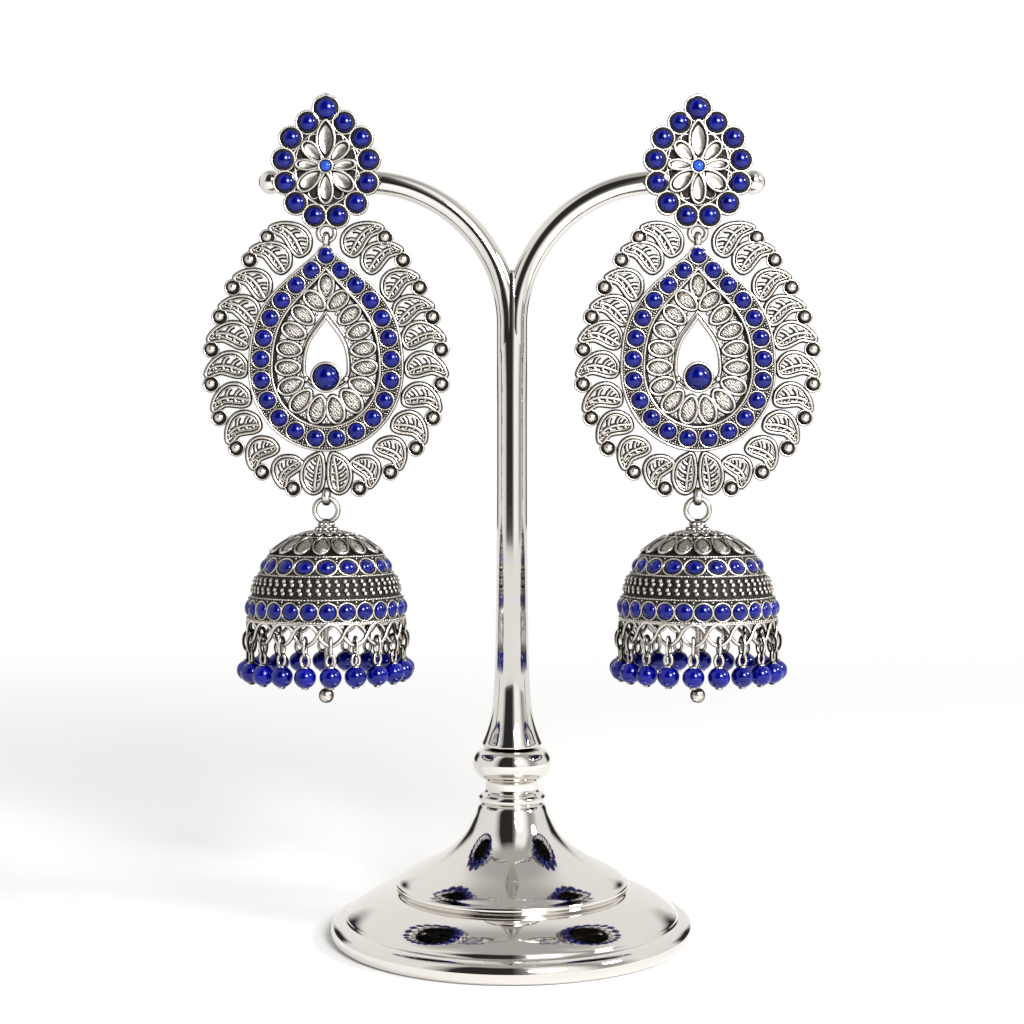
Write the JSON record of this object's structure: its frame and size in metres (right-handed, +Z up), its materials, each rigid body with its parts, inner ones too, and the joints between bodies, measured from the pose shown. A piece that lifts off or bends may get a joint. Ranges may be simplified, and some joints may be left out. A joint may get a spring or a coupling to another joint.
{
  "type": "pair of jhumka drop earrings on a forked display stand",
  "caption": "Pair of oxidised silver bell drop earrings with blue stones and a bead fringe, hanging by their ear posts on a forked polished metal display stand.",
  "frame": {"origin": "centre of the stand's flat underside", "axes": "+Z up, +X to the viewer's right, +Y away from the viewer, who sees the studs' faces"},
  "size_m": [0.1086, 0.0644, 0.1504],
  "materials": {
    "stand_silver": "polished",
    "oxidised_silver": "satin, dark in the recesses",
    "blue_stone": "gloss",
    "light_blue_stone": "gloss",
    "blue_bead": "gloss"
  },
  "bodies": {
    "stand": {"stand_foot": "stand_silver", "stand_fork": "stand_silver", "left_stud_plate": "oxidised_silver", "left_stud_stone": "light_blue_stone", "left_ear_nut": "oxidised_silver", "right_stud_plate": "oxidised_silver", "right_stud_stone": "light_blue_stone", "right_ear_nut": "oxidised_silver"},
    "left_pendant": {"left_pendant_plate": "oxidised_silver", "left_pendant_stone": "blue_stone"},
    "left_bell": {"left_bell_dome": "oxidised_silver", "left_bell_pin": "oxidised_silver", "left_bead_drop_01": "blue_bead", "left_bead_drop_02": "blue_bead", "left_bead_drop_03": "blue_bead", "left_bead_drop_04": "blue_bead", "left_bead_drop_05": "blue_bead", "left_bead_drop_06": "blue_bead", "left_bead_drop_07": "blue_bead", "left_bead_drop_08": "blue_bead", "left_bead_drop_09": "blue_bead", "left_bead_drop_10": "blue_bead", "left_bead_drop_11": "blue_bead", "left_bead_drop_12": "blue_bead", "left_bead_drop_13": "blue_bead", "left_bead_drop_14": "blue_bead", "left_bead_drop_15": "blue_bead", "left_bead_drop_16": "blue_bead", "left_bead_drop_17": "blue_bead", "left_bead_drop_18": "blue_bead", "left_bead_drop_19": "blue_bead", "left_bead_drop_20": "blue_bead"},
    "right_pendant": {"right_pendant_plate": "oxidised_silver", "right_pendant_stone": "blue_stone"},
    "right_bell": {"right_bell_dome": "oxidised_silver", "right_bell_pin": "oxidised_silver", "right_bead_drop_01": "blue_bead", "right_bead_drop_02": "blue_bead", "right_bead_drop_03": "blue_bead", "right_bead_drop_04": "blue_bead", "right_bead_drop_05": "blue_bead", "right_bead_drop_06": "blue_bead", "right_bead_drop_07": "blue_bead", "right_bead_drop_08": "blue_bead", "right_bead_drop_09": "blue_bead", "right_bead_drop_10": "blue_bead", "right_bead_drop_11": "blue_bead", "right_bead_drop_12": "blue_bead", "right_bead_drop_13": "blue_bead", "right_bead_drop_14": "blue_bead", "right_bead_drop_15": "blue_bead", "right_bead_drop_16": "blue_bead", "right_bead_drop_17": "blue_bead", "right_bead_drop_18": "blue_bead", "right_bead_drop_19": "blue_bead", "right_bead_drop_20": "blue_bead"}
  },
  "joints": [
    {"name": "left_pendant_swing", "type": "hinge", "parent": "stand", "child": "left_pendant", "pos_m": [-0.0331, -0.00308, 0.1244], "axis": [1, 0, 0], "range_deg": [-60, 60]},
    {"name": "left_bell_swing", "type": "hinge", "parent": "left_pendant", "child": "left_bell", "pos_m": [-0.0331, -0.00308, 0.07862], "axis": [1, 0, 0], "range_deg": [-60, 60]},
    {"name": "right_pendant_swing", "type": "hinge", "parent": "stand", "child": "right_pendant", "pos_m": [0.0331, -0.00308, 0.1244], "axis": [1, 0, 0], "range_deg": [-60, 60]},
    {"name": "right_bell_swing", "type": "hinge", "parent": "right_pendant", "child": "right_bell", "pos_m": [0.0331, -0.00308, 0.07862], "axis": [1, 0, 0], "range_deg": [-60, 60]}
  ]
}
